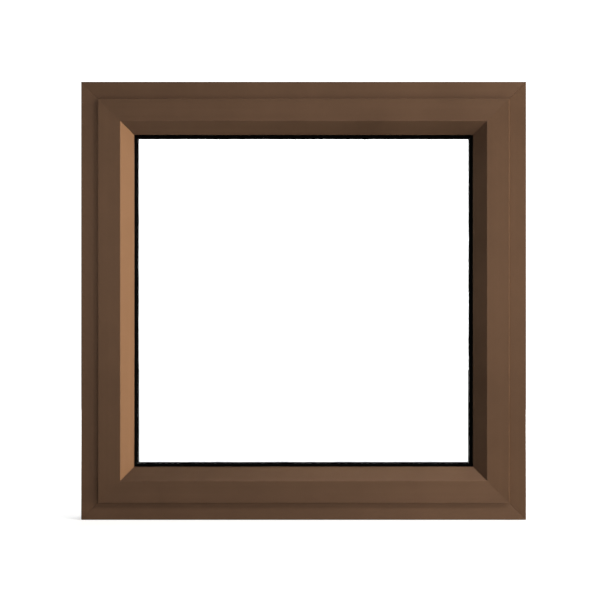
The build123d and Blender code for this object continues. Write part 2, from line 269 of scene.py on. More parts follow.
def sash_outer_lines():
    """The sash's outside shell: lap, face, bevelled nose, gasket grip, grooved lips and one chamber."""
    lap_back = sash_front + WALL
    slot_low, slot_high = sash_edge + WALL, sash_edge + WALL + SEAL_FOOT
    shell = [
        (sash_edge, sash_front), (bevel_start, sash_front), (nose_tip, bevel_end), (nose_tip, nose_back),
        (grip_high, nose_back), (grip_high, grip_back), (root_high, grip_back), (root_high, nose_back),
        (root_low, nose_back), (root_low, grip_back), (grip_low, grip_back), (grip_low, nose_back),
        (rebate, nose_back), (rebate, break_front),
    ]
    radii = [FACE_EDGE, BEVEL_EDGE, FACE_EDGE, ARRIS] + [FINE] * 9 + [ARRIS]
    lips = strip_lips(sash_strips, break_front, outer_tube_back)
    tail = [
        (sash_side, break_front), (sash_side, lap_back), (slot_high + LIP, lap_back),
        (slot_high + LIP, -LAP_GAP), (slot_high, -LAP_GAP), (slot_high, lap_back), (slot_low, lap_back),
        (slot_low, -LAP_GAP), (sash_edge, -LAP_GAP),
    ]
    radii += [FINE] * len(lips) + [ARRIS] + [FINE] * 7 + [ARRIS]
    slope = np.array([nose_tip - bevel_start, bevel_end - sash_front])
    normal = np.array([slope[1], -slope[0]]) / np.linalg.norm(slope)
    start = np.array([bevel_start, sash_front]) - normal * WALL
    front_u = start[0] + (lap_back - start[1]) * slope[0] / slope[1]
    nose_u = nose_tip - WALL
    nose_y = start[1] + (nose_u - start[0]) * slope[1] / slope[0]
    floor_y = nose_back - WALL
    nose = [(nose_u, nose_y), (nose_u, floor_y)]
    if nose_y >= floor_y:
        nose = [(start[0] + (floor_y - start[1]) * slope[0] / slope[1], floor_y)]
    hollow = [
        (sash_side + WALL, lap_back), (front_u, lap_back), *nose, (rebate - WALL, floor_y),
        (rebate - WALL, outer_tube_back - WALL), (sash_side + WALL, outer_tube_back - WALL),
    ]
    return [[Outline(shell + lips + tail, radii), Outline(hollow, hollow=True)]]


def sash_inner_lines():
    """The sash's room-side shell: grooved lips, snap ribs, room face, seal shoulder and one chamber."""
    rib = rebate + SNAP_RIB
    shell = [(sash_side, break_back)]
    lips = strip_lips(sash_strips, break_back, inner_tube_front)[::-1]
    side = [
        (rebate, break_back), (rebate, snap_front - SNAP_RIB_WALL), (rib, snap_front - SNAP_RIB_WALL),
        (rib, snap_front), (rebate, snap_front), (rebate, snap_back), (rib, snap_back),
        (rib, snap_back + SNAP_RIB_WALL), (rebate, snap_back + SNAP_RIB_WALL), (rebate, sash_back),
        (sash_side, sash_back), (sash_side, shoulder_back), (shoulder_tip, shoulder_back),
        (shoulder_tip, shoulder_front), (sash_side, shoulder_front),
    ]
    radii = [ARRIS] + [FINE] * len(lips) + [ARRIS] + [FINE] * 8 + [ARRIS, FACE_EDGE] + [ARRIS] * 4
    hollow = box_corners(sash_side + WALL, rebate - WALL, inner_tube_front + WALL, sash_back - WALL)
    return [[Outline(shell + lips + side, radii), Outline(hollow, hollow=True)]]


def bead_lines():
    """A snap-in glazing bead: leg, web, room wall, rounded top and the lip behind the wedge gasket."""
    leg_front = snap_front + FIT
    web = rebate + SNAP_RIB + FIT
    foot = rebate + FIT
    wall = BEAD_WALL
    shell = [
        (foot, leg_front), (web + wall, leg_front), (web + wall, sash_back - wall),
        (bead_top - wall, sash_back - wall), (bead_top - wall, bead_front + wall),
        (bead_top - BEAD_LIP, bead_front + wall), (bead_top - BEAD_LIP, bead_front), (bead_top, bead_front),
        (bead_top, sash_back), (foot, sash_back), (foot, sash_back - wall), (web, sash_back - wall),
        (web, leg_front + wall), (foot, leg_front + wall),
    ]
    radii = np.full(len(shell), FINE)
    radii[7:10] = ARRIS, BEAD_EDGE, ARRIS
    return [[Outline(shell, radii)]]


def strip_lines(centres):
    """The two polyamide strips of a member, each with a dovetail foot along both edges."""
    front, back = outer_tube_back + FIT, inner_tube_front - FIT
    neck, foot = STRIP / 2, STRIP_FOOT / 2
    half = [(-neck, break_back), (-foot, back), (foot, back), (neck, break_back)]
    whole = [(foot, front), (neck, break_front), *half[::-1], (-neck, break_front), (-foot, front)]
    return [[Outline([(c + u, y) for u, y in whole], FINE)] for c in centres]


def outer_gasket_lines():
    """The outside glazing gasket: root in the nose, pad on the glass and a lip that feathers out on it."""
    shell = [
        (root_low + FIT, nose_back), (root_high - FIT, nose_back), (root_high - FIT, grip_back),
        (grip_high + FIT, grip_back), (grip_high + FIT, nose_back), (nose_tip, nose_back),
        (daylight, glass_front - GASKET_FEATHER), (daylight, glass_front), (grip_low, glass_front),
        (grip_low, grip_back), (root_low + FIT, grip_back),
    ]
    radii = np.full(len(shell), FINE)
    radii[5:8] = RUBBER_ROUND, RUBBER_TIP, RUBBER_FINE
    return [[Outline(shell, radii)]]


def inner_gasket_lines():
    """The wedge gasket between bead and glass, rounded where it shows."""
    shell = [
        (bead_top - BEAD_LIP, glass_back), (daylight, glass_back), (daylight, glass_back + GASKET_FEATHER),
        (bead_top, bead_front), (bead_top - BEAD_LIP, bead_front),
    ]
    return [[Outline(shell, [FINE, RUBBER_FINE, RUBBER_TIP, RUBBER_ROUND, FINE])]]


def seal_lines(foot_low, foot_back, mouth, touch):
    """A weather seal: a square foot in its slot and a hollow bulb that the other member presses on."""
    foot_high = foot_low + SEAL_FOOT - 2 * FIT
    centre = (foot_low + foot_high) / 2
    low, high = centre - SEAL_BULB / 2, centre + SEAL_BULB / 2
    shell = [
        (foot_low, foot_back), (foot_high, foot_back), (foot_high, mouth), (high, mouth), (high, touch),
        (low, touch), (low, mouth), (foot_low, mouth),
    ]
    near, far = mouth + 0.3 * (touch - mouth), touch - 0.25 * (touch - mouth)
    bulb = box_corners(low + SEAL_WALL, high - SEAL_WALL, min(near, far), max(near, far))
    radii = [FINE] * 4 + [RUBBER_ROUND] * 2 + [FINE] * 2
    return [[Outline(shell, radii), Outline(bulb, 0.5 * MM, hollow=True)]]


def spacer_lines():
    """The spacer: a hollow bar with its two outer corners cut back for the sealant."""
    high = spacer_low + SPACER_HEIGHT
    bar = box_corners(spacer_low, high, cavity_front, cavity_back)
    hollow = box_corners(
        spacer_low + SPACER_WALL, high - SPACER_WALL, cavity_front + SPACER_WALL, cavity_back - SPACER_WALL
    )
    return [[Outline(bar, [0.8 * MM, ARRIS, ARRIS, 0.8 * MM]), Outline(hollow, hollow=True)]]


def linked(name, data):
    """A new object of this data, at the origin, in the scene."""
    made = bpy.data.objects.new(name, data)
    bpy.context.scene.collection.objects.link(made)
    return made


class Mesh:
    """Arrays of one piece as they are gathered: points, faces of each size, UVs and named point values."""

    def __init__(self):
        self.points, self.values = [], {}
        self.faces, self.uvs = [], []
        self.count = 0

    def add(self, points, faces, uvs, **values):
        """Adds points (n, 3), a list of face arrays and a matching list of UV arrays for their corners."""
        self.points.append(points)
        self.faces += [face + self.count for face in faces]
        self.uvs += uvs
        for key in ("arris", "crease"):
            given = np.broadcast_to(values.get(key, 0.0), len(points))
            self.values.setdefault(key, []).append(given)
        self.count += len(points)

    def build(self, name, material, replaced=(), sharp=SHARP_ANGLE):
        """Makes the object, smooth but for edges that turn more than the sharp angle."""
        mesh = bpy.data.meshes.new(name)
        faces = [row for face in self.faces for row in face.tolist()]
        mesh.from_pydata(np.concatenate(self.points).tolist(), [], faces)
        layer = mesh.uv_layers.new(name="run")
        flat = np.concatenate([uv.reshape(-1, 2) for uv in self.uvs])
        layer.data.foreach_set("uv", flat.astype(np.float32).ravel())
        for key, parts in self.values.items():
            attribute = mesh.attributes.new(key, "FLOAT", "POINT")
            attribute.data.foreach_set("value", np.concatenate(parts).astype(np.float32))
        mesh.materials.append(material)
        mesh.shade_smooth()
        mesh.set_sharp_from_angle(angle=sharp)
        mesh.update()
        piece = linked(name, mesh)
        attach(piece, "root")
        if replaced:
            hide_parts(*replaced)
        return piece


def grid_faces(rows, columns, close_rows=False, close_columns=False):
    """Corner indices of the quads of a grid of points, row after row, wrapped round where it closes."""
    r = np.arange(rows if close_rows else rows - 1)
    c = np.arange(columns if close_columns else columns - 1)
    r, c = np.meshgrid(r, c, indexing="ij")
    r2, c2 = (r + 1) % rows, (c + 1) % columns
    corners = (r, c), (r, c2), (r2, c2), (r2, c)
    return np.stack([row * columns + column for row, column in corners], -1).reshape(-1, 4)


def add_tube(mesh, points, arris, uv=None, flip=False):
    """Adds rings of points (ring, place round it, 3) joined into a tube and capped at both ends.

    The UVs are x and z unless they are given. Flip turns every face over.
    """
    rings, around, _ = points.shape
    points = points.reshape(-1, 3)
    uv = points[:, [0, 2]] if uv is None else uv
    ring = np.arange(around)[None]
    faces = [grid_faces(rings, around, close_columns=True), ring[:, ::-1], ring + (rings - 1) * around]
    if flip:
        faces = [face[:, ::-1] for face in faces]
    mesh.add(points, faces, [uv[face] for face in faces], arris=arris)


def placed(section, run, side):
    """Section points (u, y) along a side: corner + run * along + u * inwards + y * depth."""
    corner, along, inwards, _ = (np.array(v, float) for v in SIDES[side])
    u, y = section[..., :1], section[..., 1:]
    return corner + run[..., None] * along + u * inwards + y * np.array([0, 1, 0])


def cap_triangles(shape):
    """Triangles that fill a section between its outer line and its hollows, all turned anticlockwise."""
    loops = [[(*point, 0.0) for point in line.points] for line in shape]
    triangles = np.array(tessellate_polygon(loops))
    points = np.concatenate([line.points for line in shape])
    a, b, c = (points[triangles[:, i]] for i in range(3))
    turn = (b[:, 0] - a[:, 0]) * (c[:, 1] - a[:, 1]) - (b[:, 1] - a[:, 1]) * (c[:, 0] - a[:, 0])
    real = np.abs(turn) > 1e-16
    return np.where((turn > 0)[:, None], triangles, triangles[:, ::-1])[real]


def mitred_bar(mesh, shapes, side, burr):
    """Carries a section along one side of the window and cuts it at 45 degrees at both ends.

    Along the side a point (u, y) runs from u to length - u. Each end has two rings: the body's own, a
    little short of the cut, and the cut's, drawn in by the burr along the section's normal. The chamfer
    between them is steeper than the sharp angle, so that the long faces keep flat normals.
    """
    length = SIDES[side][3]
    short = BURR_RUN * burr
    for shape in shapes:
        caps = []
        for line in shape:
            body, cut = line.points, line.points - line.normal * burr
            caps.append(mesh.count + np.arange(len(body)))
            section = np.stack([cut, body, body, cut])
            start = np.stack([cut[:, 0], body[:, 0] + short])
            run = np.concatenate([start, length - start[::-1]])
            points = placed(section, run, side).reshape(-1, 3)
            faces = grid_faces(4, len(body), close_columns=True)
            uv = np.stack([run.ravel()[faces], np.tile(line.across, (3, 1))], -1)
            mesh.add(points, [faces], [uv], arris=np.tile(line.arris, 4), crease=np.tile(line.crease, 4))
        triangles = cap_triangles(shape)
        start, end = np.concatenate(caps), np.concatenate([cap + 3 * len(cap) for cap in caps])
        flat = np.concatenate([line.points for line in shape])
        mesh.faces += [start[triangles[:, ::-1]], end[triangles]]
        mesh.uvs += [flat[triangles[:, ::-1]], flat[triangles]]


def carried_ring(mesh, shapes, samples=2, wander=0.0, wander_from=1.0):
    """Carries a section right round the window, turning on the corners' mitres.

    On each side a point (u, y) runs from u to length - u. Points beyond wander_from inwards are shifted in
    u by a slow sum of three sines of the distance run, since a rubber lip never lies quite straight.
    """
    for shape in shapes:
        for line in shape:
            rows, runs = [], []
            travelled = 0.0
            count = len(line.points)
            for side in SIDES:
                length = SIDES[side][3]
                share = np.linspace(0, 1, samples, endpoint=False)[:, None]
                run = line.points[:, 0] + share * (length - 2 * line.points[:, 0])
                path = travelled + run
                wave = sum(part * np.sin(path * pitch + start) for part, pitch, start in WANDER_WAVES)
                fade = np.sin(np.pi * share) ** 0.5
                loose = np.clip((line.points[:, 0] - wander_from) / (1.5 * MM), 0, 1)
                section = np.repeat(line.points[None], samples, 0)
                section[..., 0] += wander * wave * fade * loose
                rows.append(placed(section, run, side).reshape(-1, 3))
                runs.append(path.ravel())
                travelled += length
            points, run = np.concatenate(rows), np.concatenate(runs)
            total = len(SIDES) * samples
            faces = grid_faces(total, count, close_rows=True, close_columns=True)
            along = run[faces]
            along[:, 2:] = np.where(along[:, 2:] < along[:, :2] - 0.1, travelled, along[:, 2:])
            uv = np.stack([along, np.tile(line.across, (total, 1))], -1)
            arris, crease = np.tile(line.arris, total), np.tile(line.crease, total)
            mesh.add(points, [faces], [uv], arris=arris, crease=crease)


def glass_pane(mesh, front, back):
    """A sheet of glass: its edge's section, with ground arrises, carried round it, and two flat faces.

    The section's points (u, y) stand on the four corners' mitres. The arris value is 1 on the ground edge
    and falls to 0 a few millimetres in on either face.
    """
    cut, border = 0.5 * MM, 4.0 * MM
    edge = np.array([
        (border, front), (cut, front), (0, front + cut), (0, back - cut), (cut, back), (border, back),
    ])
    edge[:, 0] += glass_edge
    points = np.concatenate([placed(edge, edge[:, 0], side) for side in SIDES])
    corners = np.arange(4)[None] * len(edge)
    faces = [grid_faces(4, len(edge), close_rows=True)[:, ::-1], corners[:, ::-1], corners + len(edge) - 1]
    uvs = [points[face][..., [0, 2]] for face in faces]
    mesh.add(points, faces, uvs, arris=np.tile([0, 1, 1, 1, 1, 0], 4))


def handle_backplate(mesh, seat):
    """The handle's backplate: a slot shape drawn in over its height.

    The two parameters are the angle round the slot and the way up its side. A ring at inset d is the slot
    with its radius less d. (d, h) runs up a drafted side, round an eased edge and over a crowned top.
    """
    low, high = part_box("handle_base")
    radius, depth = (high[2] - low[2]) / 2, high[1] - low[1]
    half_run = (high[0] - low[0]) / 2 - radius
    draft, ease, crown, chamfer = math.radians(8), 2.5 * MM, 0.3 * MM, 0.25 * MM
    shoulder = depth - crown - ease * (1 - math.sin(draft))
    turn = np.linspace(draft, math.pi / 2, 11)
    centre = shoulder * math.tan(draft) + ease * math.cos(draft)
    rise = np.linspace(0, 1, 6)[1:]
    inset = np.r_[chamfer, chamfer * math.tan(draft), centre - ease * np.cos(turn),
                  centre + rise * (radius - 0.6 * MM - centre)]
    height = np.r_[0.0, chamfer, shoulder + ease * (np.sin(turn) - math.sin(draft)),
                   depth - crown * (1 - rise) ** 2]
    angle = np.linspace(0, 2 * np.pi, 96, endpoint=False)
    end = np.where(np.cos(angle) > 1e-9, half_run, -half_run)
    reach = radius - inset[:, None]
    x, z = end + reach * np.cos(angle), reach * np.sin(angle)
    y = np.broadcast_to(height[:, None], x.shape)
    eased = np.r_[0.3, 0.3, np.sin(np.linspace(0, np.pi, len(turn))) ** 2, np.zeros(len(rise))]
    points = np.stack([x, y, z], -1) + np.array(seat)
    add_tube(mesh, points, np.repeat(eased, len(angle)), flip=True)


def handle_grip(mesh, seat):
    """The lever: a rounded section carried out from the rail, round a bend and along it.

    The centre line is straight, then a quarter circle, then straight, by its length s. At each s the
    section is a superellipse |p/a|^n + |q/b|^n = 1 whose half sizes and power pass smoothly from the neck's
    to the grip's. Within the end's radius r the half width b loses r - sqrt(r^2 - d^2), and the half
    thickness a nine tenths of that.
    """
    bend, foot, ease = LEVER_BEND, LEVER_FOOT, LEVER_END
    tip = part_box("handle_lever")[1][0] - seat[0]
    straight, arc = LEVER_STAND_OFF - bend - foot, bend * math.pi / 2
    total = straight + arc + tip - bend
    s = np.r_[np.linspace(0, straight, 8), straight + np.linspace(0, arc, 25)[1:],
              np.linspace(straight + arc, total - ease, 30)[1:],
              total - ease + ease * np.sin(np.linspace(0, np.pi / 2, 10)[1:])]
    turn = np.clip((s - straight) / bend, 0, np.pi / 2)
    x = bend * (1 - np.cos(turn)) + np.clip(s - straight - arc, 0, None)
    y = foot + np.clip(s, 0, straight) + bend * np.sin(turn)
    blend = np.clip((s - straight * 0.5) / (total - straight * 0.5), 0, 1)
    blend = blend * blend * (3 - 2 * blend)
    neck, grip = (5.2 * MM, 7.0 * MM, 2.6), (4.6 * MM, 8.3 * MM, 3.4)
    a, b, power = (low + blend * (high - low) for low, high in zip(neck, grip))
    into = np.clip(s - (total - ease), 0, ease)
    loss = ease - np.sqrt(np.maximum(ease**2 - into**2, 0))
    a, b = a - loss * 0.9, b - loss
    angle = np.linspace(0, 2 * np.pi, 56, endpoint=False)
    c, d = np.cos(angle), np.sin(angle)
    power = power[:, None]
    scale = (np.abs(c)[None] ** power + np.abs(d)[None] ** power) ** (-1 / power)
    p, q = a[:, None] * c * scale, b[:, None] * d * scale
    px, py = -np.cos(turn)[:, None], np.sin(turn)[:, None]
    points = np.stack([x[:, None] + p * px, y[:, None] + p * py, q], -1) + np.array(seat)
    rings, around = p.shape
    uv = np.stack([np.repeat(s, around), np.tile(angle * 8 * MM, rings)], -1)
    add_tube(mesh, points, 0.0, uv)


def turned(mesh, centre, profile, around=48):
    """A profile of (radius, height) turned about the handle's axis, into the room, and closed."""
    angle = np.linspace(0, 2 * np.pi, around, endpoint=False)
    x, z = profile[:, :1] * np.cos(angle), profile[:, :1] * np.sin(angle)
    y = np.broadcast_to(profile[:, 1:], x.shape)
    add_tube(mesh, np.stack([x, y, z], -1) + np.array(centre), 0.2, flip=True)


def screw_head(mesh, centre, radius, turn):
    """A raised countersunk head on a polar grid: height = dome(r) less a cross recess.

    The recess is the larger of two slots at right angles, each with sloped sides, and both end inside two
    thirds of the head's radius.
    """
    rings, around = 20, 72
    half_width, half_length, dome, rim, sink = 0.13, 0.62, 0.28, 0.08, 0.3
    r = np.linspace(0.02, 1, rings)[:, None]
    angle = np.linspace(0, 2 * np.pi, around, endpoint=False)[None]
    p, q = r * np.cos(angle + turn), r * np.sin(angle + turn)

    def slot(length, width):
        inside = np.clip((half_width - np.abs(width)) / 0.05, 0, 1)
        return inside * np.clip((half_length - np.abs(length)) / 0.08, 0, 1)

    recess = np.maximum(slot(p, q), slot(q, p))
    flat = np.maximum(1 - r**2, 0)
    height = dome * radius * flat + rim * radius * np.sqrt(flat) - sink * radius * recess
    x, z = radius * r * np.cos(angle), radius * r * np.sin(angle)
    points = np.stack([x, height, z], -1) + np.array(centre)
    skirt = points[-1:] - np.array([0, 0.5 * MM, 0])
    add_tube(mesh, np.concatenate([points, skirt]), 0.0)


# Materials


def put(tree, kind, inputs=None, **settings):
    """Adds a shader node to a tree, sets its own settings, and sets or links its inputs."""
    node = tree.nodes.new("ShaderNode" + kind)
    for key, value in settings.items():
        setattr(node, key, value)
    for key, value in (inputs or {}).items():
        target = node.inputs[key]
        if isinstance(value, bpy.types.NodeSocket):
            tree.links.new(value, target)
        else:
            target.default_value = value
    return node


def effect(name, inputs, outputs):
    """A shader node group with named number inputs and outputs, and its two end nodes."""
    tree = bpy.data.node_groups.new(name, "ShaderNodeTree")
    for key, value in inputs.items():
        made = tree.interface.new_socket(name=key, in_out="INPUT", socket_type="NodeSocketFloat")
        made.default_value = value
    for key in outputs:
        tree.interface.new_socket(name=key, in_out="OUTPUT", socket_type="NodeSocketFloat")
    return tree, tree.nodes.new("NodeGroupInput"), tree.nodes.new("NodeGroupOutput")


def feed(node, **values):
    """Links values to a node's inputs, which are named here with _ for a space."""
    for key, value in values.items():
        node.id_data.links.new(value, node.inputs[key.replace("_", " ")])


def tree_of(*values):
    """The node tree of the first socket among some values."""
    return next(value.id_data for value in values if isinstance(value, bpy.types.NodeSocket))


def maths(operation, a, b=0.0, clamp=False):
    """One sum of a node tree, as the socket it comes out of."""
    return put(tree_of(a, b), "Math", {0: a, 1: b}, operation=operation, use_clamp=clamp).outputs[0]


def times(a, b, clamp=False):
    """The product of two values."""
    return maths("MULTIPLY", a, b, clamp)


def along_axis(vector, axis):
    """One of a vector's three parts."""
    return put(vector.id_data, "SeparateXYZ", {0: vector}).outputs[axis]


def own_place(tree):
    """Object coordinates, which on every piece are metres from the window's origin."""
    return put(tree, "TexCoord").outputs["Object"]


def ranged(value, low, high, to_low=0.0, to_high=1.0):
    """A value moved from one range to another and held within it."""
    limits = {"From Min": low, "From Max": high, "To Min": to_low, "To Max": to_high}
    return put(value.id_data, "MapRange", {"Value": value, **limits}).outputs["Result"]


def point_value(tree, name):
    """One of the values that a piece's points carry."""
    return put(tree, "Attribute", attribute_name=name).outputs["Fac"]


def object_noise(tree, scale, detail=3.0, roughness=0.55, stretch=(1, 1, 1)):
    """Noise on Object coordinates, stretched along the axes."""
    place = put(tree, "Mapping", {"Vector": own_place(tree), "Scale": stretch}).outputs["Vector"]
    node = put(tree, "TexNoise",
               {"Vector": place, "Scale": scale, "Detail": detail, "Roughness": roughness})
    return node.outputs["Fac"]


def make_die_lines():
    """Fine lines that the die leaves along an extrusion: noise stretched along the piece's own run."""
    tree, into, out = effect("die_lines", {"Lines per metre": 700.0}, ["Height", "Streak"])
    run = put(tree, "UVMap", uv_map="run").outputs["UV"]
    along = times(along_axis(run, "X"), 2.5)
    across = times(along_axis(run, "Y"), into.outputs["Lines per metre"])
    place = put(tree, "CombineXYZ", {"X": along, "Y": across, "Z": 0.0}).outputs[0]
    fine = put(tree, "TexNoise", {"Vector": place, "Scale": 1.0, "Detail": 2.0}).outputs["Fac"]
    wide = put(tree, "VectorMath", {0: place, 1: (0.35, 0.12, 1.0)}, operation="MULTIPLY")
    broad = put(tree, "TexNoise", {"Vector": wide.outputs[0], "Scale": 1.0, "Detail": 2.0})
    feed(out, Height=fine, Streak=ranged(broad.outputs["Fac"], 0.3, 0.7))
    return tree


def make_spray_texture():
    """The skin of a sprayed coat: a close orange peel, and a slow mottle in how thickly it lies."""
    scales = {"Peel scale": 900.0, "Mottle scale": 9.0}
    tree, into, out = effect("spray_texture", scales, ["Height", "Mottle"])
    peel = object_noise(tree, into.outputs["Peel scale"], 2.0)
    mottle = object_noise(tree, into.outputs["Mottle scale"], 4.0, 0.6)
    feed(out, Height=peel, Mottle=ranged(mottle, 0.32, 0.68))
    return tree


def make_arris_wear():
    """Where an outside edge is rubbed: the piece's own arris value, broken up by noise."""
    tree, into, out = effect("arris_wear", {"Amount": 0.5, "Patch scale": 45.0}, ["Mask"])
    arris = point_value(tree, "arris")
    patch = ranged(object_noise(tree, into.outputs["Patch scale"], 5.0, 0.65), 0.38, 0.66)
    feed(out, Mask=times(times(arris, patch), into.outputs["Amount"], True))
    return tree


def make_settled_dust():
    """Where dust stays: on faces that look up and in creases, thinned by noise."""
    tree, into, out = effect("settled_dust", {"Amount": 0.3, "Crease amount": 0.3}, ["Mask"])
    normal = put(tree, "NewGeometry").outputs["Normal"]
    up = ranged(along_axis(normal, "Z"), 0.25, 0.95)
    lodged = times(point_value(tree, "crease"), into.outputs["Crease amount"])
    lying = times(up, into.outputs["Amount"])
    patch = ranged(object_noise(tree, 70.0, 6.0, 0.7), 0.3, 0.75, 0.25, 1.0)
    feed(out, Mask=times(maths("MAXIMUM", lying, lodged), patch, True))
    return tree


EFFECTS = {
    "die_lines": make_die_lines(),
    "spray_texture": make_spray_texture(),
    "arris_wear": make_arris_wear(),
    "settled_dust": make_settled_dust(),
}


def place_effect(tree, name, **values):
    """One of the shared effects in a material, with that material's own values."""
    inputs = {key.replace("_", " ").capitalize(): value for key, value in values.items()}
    return put(tree, "Group", inputs, node_tree=EFFECTS[name]).outputs


def shaded(name, **plain):
    """A new material, its tree and its Principled shader, with the sockets set that are even all over."""
    material = bpy.data.materials.new(name)
    material.use_nodes = True
    tree = material.node_tree
    shader = tree.nodes["Principled BSDF"]
    for key, value in plain.items():
        shader.inputs[key.replace("_", " ")].default_value = value
    return material, tree, shader


def tint(factor, first, second, blend="MIX"):
    """A colour mixed from two by a mask. Each may be a colour or another mix."""
    first, second = ((*value, 1.0) if isinstance(value, tuple) else value for value in (first, second))
    inputs = {0: factor, 6: first, 7: second}
    return put(tree_of(*inputs.values()), "Mix", inputs, data_type="RGBA", blend_type=blend).outputs[2]


def bumped(shader, *layers):
    """Feeds the shader's Normal from bumps stacked in turn, each a height, a distance and a strength."""
    normal = None
    for height, distance, strength in layers:
        node = put(height.id_data, "Bump", {"Height": height, "Distance": distance, "Strength": strength})
        if normal:
            feed(node, Normal=normal)
        normal = node.outputs["Normal"]
    feed(shader, Normal=normal)


def coated_metal(name, colour, worn, metallic, rough, dust):
    """Aluminium under a satin brown coat: die lines, orange peel, mottle, rubbed arrises and dust."""
    material, tree, shader = shaded(
        name, Metallic=metallic, Specular_IOR_Level=0.3, Anisotropic=0.45, Anisotropic_Rotation=0.25)
    grain = put(tree, "Tangent", direction_type="UV_MAP", uv_map="run")
    feed(shader, Tangent=grain.outputs["Tangent"])
    die = place_effect(tree, "die_lines", lines_per_metre=650.0)
    skin = place_effect(tree, "spray_texture", peel_scale=850.0, mottle_scale=8.0)
    wear = place_effect(tree, "arris_wear", amount=0.55, patch_scale=42.0)
    dirt = place_effect(tree, "settled_dust", amount=dust, crease_amount=0.5 * dust)
    dark, light = tuple(0.93 * c for c in colour), tuple(1.07 * c for c in colour)
    mottled = tint(skin["Mottle"], dark, light)
    streaked = tint(die["Streak"], (0.96, 0.96, 0.96), (1.04, 1.04, 1.04))
    base = tint(1.0, mottled, streaked, "MULTIPLY")
    base = tint(wear["Mask"], base, worn)
    base = tint(dirt["Mask"], base, (0.33, 0.30, 0.26))
    roughness = ranged(skin["Mottle"], 0.0, 1.0, rough - 0.035, rough + 0.035)
    roughness = maths("ADD", roughness, times(dirt["Mask"], 0.5))
    roughness = maths("SUBTRACT", roughness, times(wear["Mask"], 0.08), True)
    feed(shader, Base_Color=base, Roughness=roughness)
    bumped(shader, (die["Height"], 0.00004, 0.35), (skin["Height"], 0.00004, 0.5))
    return material


def black_rubber(name, colour, rough, sheen, dust):
    """Extruded rubber: near black, a greyer bloom in streaks along it, and dust in its creases."""
    material, tree, shader = shaded(name, Specular_IOR_Level=sheen)
    die = place_effect(tree, "die_lines", lines_per_metre=1400.0)
    dirt = place_effect(tree, "settled_dust", amount=dust, crease_amount=dust)
    bloom = times(die["Streak"], 0.5)
    base = tint(bloom, colour, tuple(1.8 * c for c in colour))
    base = tint(dirt["Mask"], base, (0.20, 0.19, 0.17))
    roughness = ranged(die["Streak"], 0.0, 1.0, rough - 0.08, rough + 0.08)
    feed(shader, Base_Color=base, Roughness=roughness)
    grain = object_noise(tree, 2200.0, 2.0)
    bumped(shader, (die["Height"], 0.00005, 0.5), (grain, 0.00003, 0.4))
    return material


def filled_polyamide(name):
    """Glass-filled polyamide: black, with pale fibre ends drawn out along the strip."""
    material, tree, shader = shaded(name, Specular_IOR_Level=0.4)
    die = place_effect(tree, "die_lines", lines_per_metre=2600.0)
    dirt = place_effect(tree, "settled_dust", amount=0.35, crease_amount=0.2)
    fibre = ranged(die["Height"], 0.58, 0.7)
    base = tint(fibre, (0.012, 0.012, 0.013), (0.035, 0.035, 0.036))
    base = tint(dirt["Mask"], base, (0.22, 0.20, 0.18))
    feed(shader, Base_Color=base, Roughness=ranged(die["Streak"], 0.0, 1.0, 0.5, 0.68))
    bumped(shader, (die["Height"], 0.00004, 0.6))
    return material


def clear_glass(name):
    """Float glass: clear, a breath of green, ground edges that scatter, and a film of dust by its edges."""
    material, tree, shader = shaded(name, Transmission_Weight=1.0, IOR=1.5, Metallic=0.0)
    ground = point_value(tree, "arris")
    film = ranged(object_noise(tree, 14.0, 6.0, 0.7), 0.55, 0.85, 0.0, 0.012)
    feed(shader, Roughness=maths("ADD", film, times(ground, 0.4)),
         Base_Color=tint(ground, (0.985, 0.995, 0.99), (0.62, 0.80, 0.74)))
    clear = put(tree, "BsdfTransparent", {"Color": (0.93, 0.96, 0.945, 1.0)})
    path = put(tree, "LightPath")
    lit = maths("MAXIMUM", path.outputs["Is Shadow Ray"], path.outputs["Is Diffuse Ray"])
    mix = put(tree, "MixShader", {0: lit, 1: shader.outputs[0], 2: clear.outputs[0]})
    feed(tree.nodes["Material Output"], Surface=mix.outputs[0])
    return material


def spacer_metal(name):
    """Bright rolled aluminium with two rows of breathing holes along the face to the cavity. The holes are
    painted near black, as painted shade for their dark insides, and sunk a little by the bump.
    """
    material, tree, shader = shaded(name, Metallic=1.0)
    die = place_effect(tree, "die_lines", lines_per_metre=900.0)
    run = put(tree, "UVMap", uv_map="run").outputs["UV"]
    half_pitch, row_offset = 2.0 * MM, 3.0 * MM
    along = maths("PINGPONG", along_axis(run, "X"), half_pitch)
    middle = (cavity_front + cavity_back) / 2
    depth = along_axis(own_place(tree), "Y")
    off_middle = maths("ABSOLUTE", maths("SUBTRACT", depth, middle))
    row = maths("ABSOLUTE", maths("SUBTRACT", off_middle, row_offset))
    # The hole mask paints each hole near black: painted shade standing for the dark inside of the hole.
    hole_painted_shade = times(ranged(along, 0.5 * MM, 0.7 * MM, 1.0, 0.0),
                 ranged(row, 0.25 * MM, 0.4 * MM, 1.0, 0.0))
    feed(shader, Base_Color=tint(hole_painted_shade, (0.62, 0.63, 0.64), (0.05, 0.05, 0.05)),
         Roughness=ranged(die["Streak"], 0.0, 1.0, 0.28, 0.42))
    sunk = maths("SUBTRACT", die["Height"], times(hole_painted_shade, 4.0))
    bumped(shader, (sunk, 0.00005, 0.6))
    return material


def grained(name, noise, colours, rough, **plain):
    """A material whose colour and roughness follow one noise, with its shader and that noise."""
    material, tree, shader = shaded(name, **plain)
    grain = object_noise(tree, *noise)
    feed(shader, Base_Color=tint(grain, *colours), Roughness=ranged(grain, 0.3, 0.7, *rough))
    return material, shader, grain


def set_sealant(name):
    """Edge sealant: dark grey, tooled in long smears."""
    greys = (0.02, 0.021, 0.022), (0.05, 0.051, 0.052)
    material, shader, smear = grained(
        name, (60.0, 5.0, 0.6, (0.3, 1.0, 0.3)), greys, (0.5, 0.7), Specular_IOR_Level=0.3)
    bumped(shader, (smear, 0.0003, 0.5))
    return material


